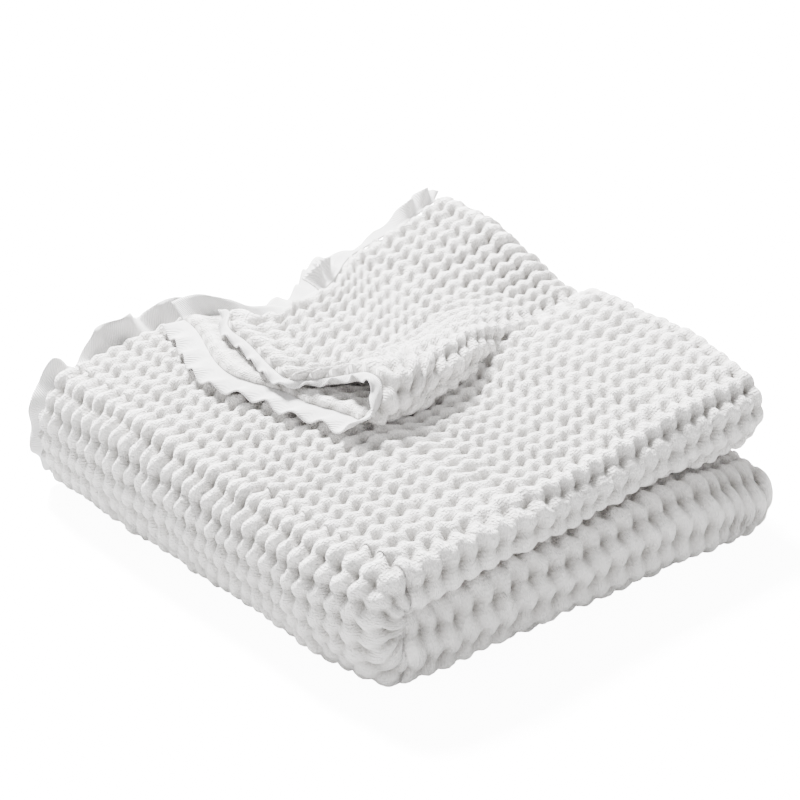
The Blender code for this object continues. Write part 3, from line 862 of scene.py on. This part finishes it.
def tape(name, edge, inside, outward, height, width, pitch=RUFFLE_PITCH):
    """A ruffled binding along an edge: straight out of the cloth first, then leaning as outward says."""
    sizes = bpy.context.scene.blanket_binding
    length = run_lengths(edge)
    spots = np.linspace(0, length[-1], max(int(length[-1] / sizes.step), FEWEST_FACES) + 1)

    def along_edge(values):
        return np.stack([np.interp(spots, length, column) for column in np.asarray(values, float).T], -1)

    edge, inside, outward = along_edge(edge), along_edge(inside), along_edge(outward)
    height = np.interp(spots, length, np.broadcast_to(height, length.shape)) * sizes.flutter
    turns = np.cumsum(spots[1] / np.interp(spots, length, np.broadcast_to(pitch, length.shape)))
    plain = unit(edge - inside)
    normal = unit(np.cross(unit(outward), np.gradient(edge, axis=0)))
    stray = RUFFLE_STRAY * np.sin(RUFFLE_STRAY_TURN * spots)
    ruffle = height * np.sin(2 * math.pi * turns + stray)
    gather_stray = GATHER_STRAY * np.sin(GATHER_STRAY_TURN * spots)
    gathers = 0.5 * sizes.gather * np.sin(2 * math.pi * spots / GATHER_PITCH + gather_stray)
    across = np.concatenate([SEAM_ROWS, np.linspace(SEAM_SHARE, 1.0, sizes.across)])
    rows = []
    for share in across:
        reach = SEAM_GAP + BINDING_ROOT * min(share / SEAM_SHARE, 1.0)
        free = max(share - SEAM_SHARE, 0.0) / (1 - SEAM_SHARE)
        ripple = ruffle * free**RUFFLE_GROWTH + gathers * free * (GATHER_FADE - free)
        rows.append(edge + plain * reach + outward * (width * free) + normal * ripple[:, None])
    points = np.stack(rows, 1)
    points[..., 2] = np.maximum(points[..., 2], sizes.thickness)
    grid = np.arange(points.shape[0] * points.shape[1]).reshape(points.shape[:2])
    mesh = bpy.data.meshes.new(name)
    mesh.from_pydata(points.reshape(-1, 3).tolist(), [], quads(grid))
    mesh.shade_smooth()
    place = np.stack([*np.broadcast_arrays(spots[:, None], across[None, :] * BINDING_WIDTH),
                      np.zeros(points.shape[:2])], -1)
    set_attribute(mesh, "weave", "FLOAT_VECTOR", place)
    mesh.materials.append(material_of(ribbed_cotton))
    piece = new_piece(name, mesh)
    solidify = piece.modifiers.new("Tape thickness", "SOLIDIFY")
    solidify.thickness = sizes.thickness
    solidify.offset = 0.0
    return piece, length[-1]


def finish_binding(piece, length, node):
    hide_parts(node)
    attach(piece, "root")


def leaning(band, places):
    """Directions of a binding at places along it, from its (place, out, forward, up) rows."""
    out, forward, up = (along([(row[0], row[side]) for row in band], places) for side in (1, 2, 3))
    return np.stack([-out, -forward, up], -1)


def side_binding(name, node, station):
    """The binding along one long edge of the cloth, through all its legs."""
    way = np.linspace(0, LEG_COUNT, LONG_EDGE_PLACES)
    shown = INNER_RUFFLE
    outward = np.broadcast_to([-1.0, 0.0, 0.0], way.shape + (3,))
    pitch = RUFFLE_PITCH
    if station == 0:
        leg = np.floor(way)
        shown = np.where((leg == 2) | (leg == 3), 1.0, np.where(leg == 4, LOWER_RUFFLE, INNER_RUFFLE))
        outward = leaning(OUTER_BAND, way)
        pitch = OUTER_BAND_PITCH
    edge, inside = fold_surface(way, station), fold_surface(way, abs(station - EDGE_STEP))
    width = BINDING_WIDTH - BINDING_ROOT
    finish_binding(*tape(name, edge, inside, outward, RUFFLE_HEIGHT * shown, width, pitch), node)


def end_binding(name, node, way):
    """The binding across one short end of the cloth, inside the stack."""
    station = np.linspace(0, 3, SHORT_EDGE_PLACES)
    edge, inside = fold_surface(way, station), fold_surface(abs(way - EDGE_STEP), station)
    outward = np.broadcast_to([0.0, -1.0, 0.0], edge.shape)
    width = BINDING_WIDTH - 2 * BINDING_ROOT
    finish_binding(*tape(name, edge, inside, outward, RUFFLE_HEIGHT * END_RUFFLE, width), node)


def flap_end_binding():
    """The binding of the flap's front end, round its roll."""
    station = np.linspace(0, 3, ROLL_EDGE_PLACES)
    edge, inside = flap_surface(0.0, station), flap_surface(EDGE_STEP, station)
    above = ease(*FLAP_TRIM_TURN, station)
    reach = blend(1.0, FLAP_TRIM_THIN, above)
    up = FLAP_TRIM_RISE * (1 - above) - FLAP_TRIM_DROP * above * ease(*FLAP_TRIM_DROP_RUN, station)
    lean = ROLL_LEAN * np.sin(math.pi * ease(1, 2, station))
    outward = unit(np.stack([lean, -np.ones_like(station), up], -1)) * reach[:, None]
    height = RUFFLE_HEIGHT * blend(*FLAP_TRIM_RUFFLE, above)
    width, pitch = BINDING_WIDTH - BINDING_ROOT, blend(*FLAP_TRIM_PITCH, above)
    made = tape("Flap_end_binding", edge, inside, outward, height, width, pitch)
    finish_binding(*made, "flap_binding_end")


def flap_side_binding(name, node, station, run, band):
    """The binding along one side of the flap, between the two shares of its run."""
    share = np.linspace(*run, SHORT_EDGE_PLACES)
    height, pitch = RUFFLE_HEIGHT * SIDE_RUFFLE, RUFFLE_PITCH
    if station > 1:
        bunched = np.maximum(ease(*BUNCHED_AT_BACK, share), ease(*BUNCHED_AT_FRONT, share))
        height = RUFFLE_HEIGHT * blend(SIDE_RUFFLE, PEAK_RUFFLE, bunched)
        pitch = blend(RUFFLE_PITCH, BUNCHED_PITCH, bunched)
    edge, inside = flap_surface(share, station), flap_surface(share, abs(station - EDGE_STEP))
    width = BINDING_WIDTH - BINDING_ROOT
    finish_binding(*tape(name, edge, inside, leaning(band, share), height, width, pitch), node)


# What a user can change


def length_setting(name, description, default, low, high):
    """A length that a user can change."""
    return bpy.props.FloatProperty(
        name=name, description=description, default=default, min=low, max=high, unit="LENGTH")


def share_setting(name, description, default, high=0.5):
    """A share that a user can change."""
    return bpy.props.FloatProperty(
        name=name, description=description, default=default, min=0.0, max=high, subtype="FACTOR")


def colour_setting(name, description, default):
    """A colour that a user can change."""
    return bpy.props.FloatVectorProperty(
        name=name, description=description, default=default, subtype="COLOR", min=0.0, max=1.0)


class BlanketWeave(bpy.types.PropertyGroup):
    cell_across: length_setting("Cell width", "Width of one honeycomb cell", 0.0107, 0.004, 0.03)
    cell_along: length_setting("Cell length", "Distance from row to row", 0.0145, 0.004, 0.03)
    puff: length_setting("Puff height", "Height of a cell's crest over its deepest pit", 0.0088, 0.0, 0.012)
    crease: share_setting("Crease", "Depth of the crease between neighbours in a row, as a share", 0.36)
    trough: share_setting("Trough", "Depth of the trough between rows, as a share", 0.30)
    slant: bpy.props.FloatProperty(
        name="Slant", description="How far the creases swing to the side, in cells", default=-0.075,
        min=-0.3, max=0.3)
    unevenness: share_setting("Unevenness", "How far cells stray from an even grid", 0.13)
    fuzz: length_setting("Fuzz", "Depth of the ragged fibres on the cells", 0.0020, 0.0, 0.005)
    row_slope: length_setting(
        "Row slope", "How far the top's rows stray backwards towards the noses", 0.018, 0.0, 0.05)
    thread: length_setting("Thread pitch", "Distance between thread ribs", 0.0014, 0.0005, 0.005)
    seed: bpy.props.IntProperty(
        name="Seed", description="Seed of the cells' unevenness", default=3, min=0)


class BlanketBinding(bpy.types.PropertyGroup):
    thickness: length_setting("Thickness", "Thickness of the doubled tape", 0.0012, 0.0003, 0.003)
    rib: length_setting("Rib pitch", "Distance between the tape's ribs", 0.0013, 0.0005, 0.004)
    flutter: bpy.props.FloatProperty(
        name="Flutter", description="How many times the solids' ruffle height is shown", default=1.2,
        min=0.0, max=4.0)
    gather: length_setting("Gather", "Height of the small gathers at the seam", 0.0009, 0.0, 0.003)
    step: length_setting("Step", "Length of one face along the tape", 0.0016, 0.0008, 0.01)
    across: bpy.props.IntProperty(
        name="Faces across", description="Faces across the tape", default=8, min=3, max=30)


class BlanketColours(bpy.types.PropertyGroup):
    cotton: colour_setting("Cotton", "Crests of the honeycomb cells", (0.885, 0.866, 0.852))
    # Painted shade colour that darkens the deepest places between the cells
    pit: colour_setting("Pits", "Deepest places between the cells", (0.22, 0.205, 0.185))
    binding: colour_setting("Binding", "Ribs of the binding tape", (0.80, 0.792, 0.79))
    # Painted shade colour between the ribs of the tape, also mixed in at random by the waver
    binding_shade: colour_setting(
        "Binding shade", "Between the ribs of the binding tape", (0.52, 0.512, 0.51))


class BlanketStage(bpy.types.PropertyGroup):
    azimuth: bpy.props.FloatProperty(
        name="Azimuth", description="0 looks along +Y, 90 degrees along -X",
        default=math.radians(47.89), subtype="ANGLE")
    elevation: bpy.props.FloatProperty(
        name="Elevation", description="Camera's angle over the horizon", default=math.radians(30.89),
        subtype="ANGLE")
    distance: bpy.props.FloatProperty(
        name="Distance", description="Camera's distance from its target", default=1.7584,
        unit="LENGTH")
    lens: bpy.props.FloatProperty(
        name="Lens", description="Focal length in millimetres", default=114.27, min=20.0)
    target: bpy.props.FloatVectorProperty(
        name="Target", description="Point at the middle of the picture",
        default=(-0.0408, 0.0300, 0.05), subtype="XYZ", unit="LENGTH")
    floor: colour_setting("Floor", "Colour of the floor", (0.60, 0.60, 0.60))
    glow: bpy.props.FloatProperty(
        name="Floor glow", description="Brightness of the floor, as of a lit table", default=12.0,
        min=0.0)
    key: bpy.props.FloatProperty(
        name="Key light", description="Power of the light behind the blanket's left side",
        default=520.0, min=0.0, unit="POWER")
    fill: bpy.props.FloatProperty(
        name="Fill light", description="Power of the light to the camera's left", default=4.0,
        min=0.0, unit="POWER")
    sky: bpy.props.FloatProperty(
        name="Surround", description="Brightness of the white surround", default=1.25, min=0.0)


# Operators


class BLANKET_OT_cloth(bpy.types.Operator):
    """Fold the honeycomb cloth, band by band, each cell puffed out"""

    bl_idname = "blanket.cloth"
    bl_label = "Fold Honeycomb Cloth"

    def execute(self, context):
        ruler = ClothRuler(fold_surface, LEG_COUNT, middle_onward=2.3, middle_station=0.8, strays=True)
        # name, ways, stations, faces to a cell across and along, and share of the puff height
        bands = (
            ("Cloth_upper_face", (2, 3), (0, 2), (8, 10), 1.0),
            ("Cloth_spine", (3, 4), (0, 2), (8, 10), 1.0),
            ("Cloth_lower_nose", (4, 5), (1, 2), (8, 10), 1.0),
            ("Cloth_underside", (4, 5), (0, 1), (4, 4), 1.0),
            ("Cloth_upper_end", (1, 2), (0, 3), (6, 8), 0.7),
            ("Cloth_lower_end", (5, 6), (0, 3), (6, 8), 0.7),
            ("Cloth_gap_face", (2, 5), (2, 3), (4, 6), 0.7),
            ("Cloth_upper_return", (0, 1), (0, 3), (4, 4), 0.6),
            ("Cloth_lower_return", (6, 7), (0, 3), (4, 4), 0.6),
        )
        for name, onward, station, samples, fullness in bands:
            piece, flat = ruler.band(name, onward, station, samples, fullness)
            finish_cloth(piece)
        return {"FINISHED"}


class BLANKET_OT_flap(bpy.types.Operator):
    """Roll the flap back over the rear corner"""

    bl_idname = "blanket.flap"
    bl_label = "Roll Flap Back"

    def execute(self, context):
        ruler = ClothRuler(flap_surface, 2.0, middle_onward=0.5, middle_station=2.5)
        for name, station, samples in (("Flap_below", (0, 1), (4, 4)), ("Flap_above", (1, 3), (8, 10))):
            piece, flat = ruler.band(name, (0, FLAP_SHOWN_TO), station, samples)
            finish_cloth(piece)
        return {"FINISHED"}


class BLANKET_OT_bindings(bpy.types.Operator):
    """Sew the ruffled binding along every edge"""

    bl_idname = "blanket.bindings"
    bl_label = "Sew Bindings"

    def execute(self, context):
        side_binding("Outer_edge_binding", "binding_outer_edge", 0)
        side_binding("Inner_edge_binding", "binding_inner_edge", 3)
        end_binding("Upper_end_binding", "binding_upper_end", 0)
        end_binding("Lower_end_binding", "binding_lower_end", LEG_COUNT)
        flap_end_binding()
        flap_side_binding(
            "Flap_side_binding_below", "flap_binding_below", 0, FLAP_RUN_BELOW, FLAP_BAND_BELOW)
        flap_side_binding(
            "Flap_side_binding_above", "flap_binding_above", 3, FLAP_RUN_ABOVE, FLAP_BAND_ABOVE)
        return {"FINISHED"}


class BLANKET_OT_stage(bpy.types.Operator):
    """Set the pale floor, the soft studio light and the camera"""

    bl_idname = "blanket.stage"
    bl_label = "Set Stage"

    def execute(self, context):
        stage = context.scene.blanket_stage
        mesh = bpy.data.meshes.new("Floor")
        side = FLOOR_SIDE
        corners = [(-side, -side, 0), (side, -side, 0), (side, side, 0), (-side, side, 0)]
        mesh.from_pydata(corners, [], [(0, 1, 2, 3)])
        mesh.materials.append(material_of(pale_floor))
        floor = new_piece("Floor", mesh)
        # The floor's own light reaches only the floor, so that it doesn't lighten the blanket's sides
        lit = bpy.data.collections.new("Lit by the floor")
        lit.objects.link(floor)
        floor.light_linking.receiver_collection = lit
        add_camera(stage)
        add_light("Key light", stage.key, KEY_SIZE, KEY_PLACE)
        add_light("Fill light", stage.fill, FILL_SIZE, FILL_PLACE)
        world = context.scene.world or bpy.data.worlds.new("Surround")
        context.scene.world = world
        world.use_nodes = True
        surround = world.node_tree.nodes["Background"]
        surround.inputs["Color"].default_value = WHITE
        surround.inputs["Strength"].default_value = stage.sky
        return {"FINISHED"}


def add_camera(stage):
    """The camera at the photograph's angle, aimed at its target."""
    flat = math.cos(stage.elevation)
    view = Vector((-math.sin(stage.azimuth) * flat, math.cos(stage.azimuth) * flat,
                   -math.sin(stage.elevation)))
    camera = bpy.data.objects.new("Camera", bpy.data.cameras.new("Camera"))
    bpy.context.scene.collection.objects.link(camera)
    camera.location = Vector(stage.target) - view * stage.distance
    camera.rotation_euler = view.to_track_quat("-Z", "Y").to_euler()
    camera.data.lens = stage.lens
    camera.data.sensor_width = SENSOR_WIDTH
    camera.data.clip_end = VIEW_END
    bpy.context.scene.camera = camera


def add_light(name, power, size, place):
    """A square light that faces the blanket's middle."""
    data = bpy.data.lights.new(name, "AREA")
    data.energy = power
    data.size = size
    light = bpy.data.objects.new(name, data)
    bpy.context.scene.collection.objects.link(light)
    light.location = place
    light.rotation_euler = (Vector(LIT_POINT) - Vector(place)).to_track_quat("-Z", "Y").to_euler()


class BLANKET_PT_sidebar(bpy.types.Panel):
    """Sizes, colours and steps of the folded blanket"""

    bl_label = "Folded Baby Blanket"
    bl_space_type = "VIEW_3D"
    bl_region_type = "UI"
    bl_category = "Blanket"

    def draw(self, context):
        for group in (context.scene.blanket_weave, context.scene.blanket_binding,
                      context.scene.blanket_colours, context.scene.blanket_stage):
            box = self.layout.box()
            for name in group.bl_rna.properties.keys():
                if name not in ("rna_type", "name"):
                    box.prop(group, name)
        for operator in OPERATORS:
            self.layout.operator(operator.bl_idname)


GROUPS = {
    "blanket_weave": BlanketWeave,
    "blanket_binding": BlanketBinding,
    "blanket_colours": BlanketColours,
    "blanket_stage": BlanketStage,
}
OPERATORS = (BLANKET_OT_cloth, BLANKET_OT_flap, BLANKET_OT_bindings, BLANKET_OT_stage)


def register():
    for name, group in GROUPS.items():
        bpy.utils.register_class(group)
        setattr(bpy.types.Scene, name, bpy.props.PointerProperty(type=group))
    for kind in (*OPERATORS, BLANKET_PT_sidebar):
        bpy.utils.register_class(kind)


def unregister():
    for kind in (BLANKET_PT_sidebar, *reversed(OPERATORS)):
        bpy.utils.unregister_class(kind)
    for name, group in reversed(GROUPS.items()):
        delattr(bpy.types.Scene, name)
        bpy.utils.unregister_class(group)


def main():
    register()
    bpy.ops.blanket.cloth()
    bpy.ops.blanket.flap()
    bpy.ops.blanket.bindings()
    bpy.ops.blanket.stage()


if __name__ == "__main__":
    main()
